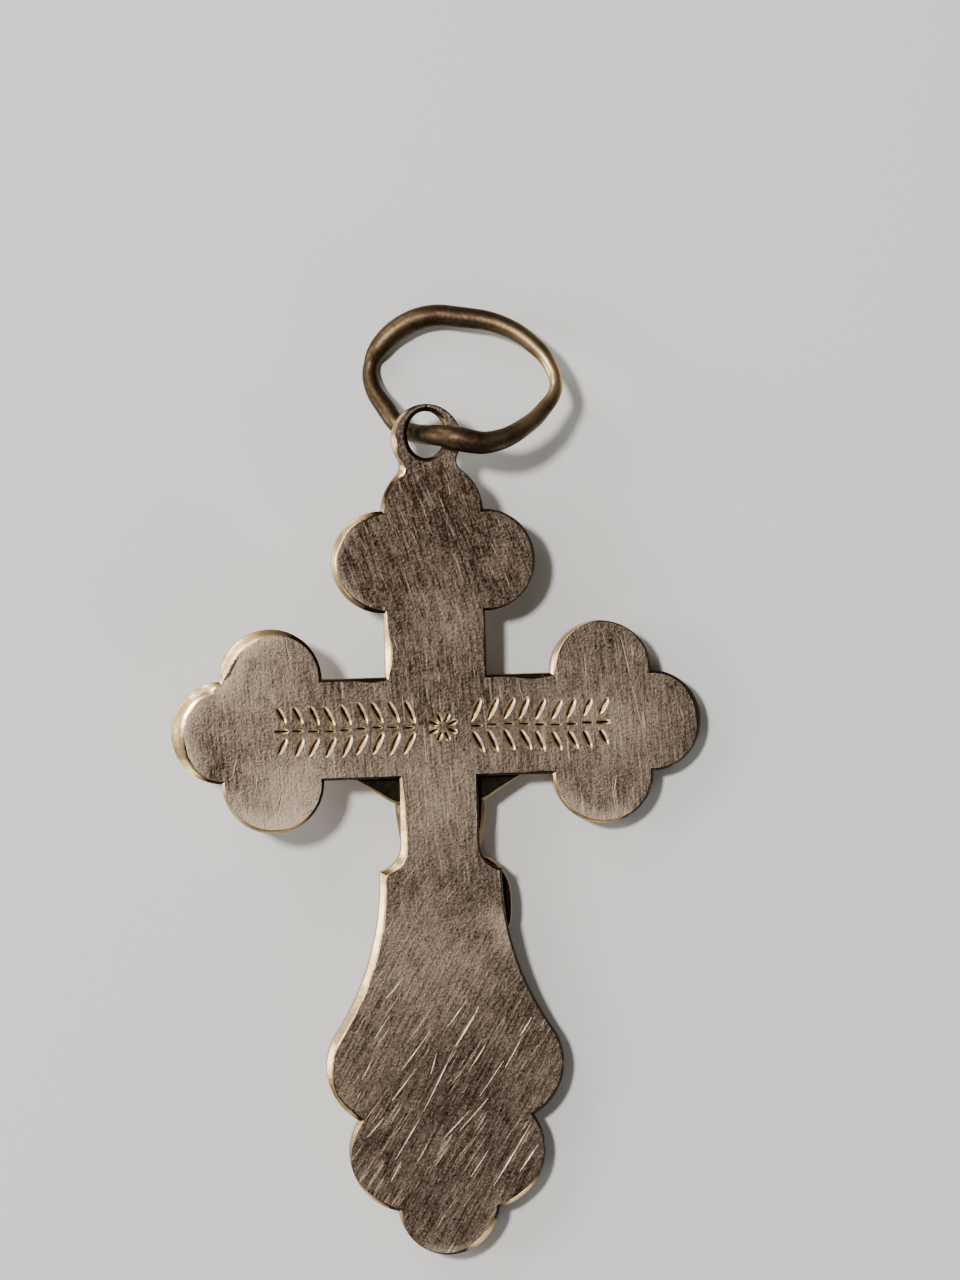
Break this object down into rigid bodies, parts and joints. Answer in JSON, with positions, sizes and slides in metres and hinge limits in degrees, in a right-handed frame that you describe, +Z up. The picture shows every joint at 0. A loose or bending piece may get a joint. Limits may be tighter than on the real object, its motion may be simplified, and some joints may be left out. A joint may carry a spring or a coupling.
{
  "type": "crucifix pendant",
  "caption": "Budded cross pendant of worn gold alloy with a raised figure on its front and an oval bail ring through a small eyelet, lying face down.",
  "frame": {"origin": "middle of the bottom of the bounding box, on the surface that the pendant lies on", "axes": "+Z up, out of the cross's back; +Y along the cross from its foot to its ring; +X to the right of someone who looks down on the back, towards the arm that touches the surface"},
  "size_m": [0.0212, 0.0382, 0.0033],
  "materials": {
    "cast_gold": "cast reddish gold alloy, flat back brushed, scratched and dulled by wear",
    "gold_wire": "drawn gold alloy wire, soft polish, darker in its dents"
  },
  "bodies": {
    "root": {"cross": "cast_gold", "bail_ring": "gold_wire"}
  },
  "joints": []
}
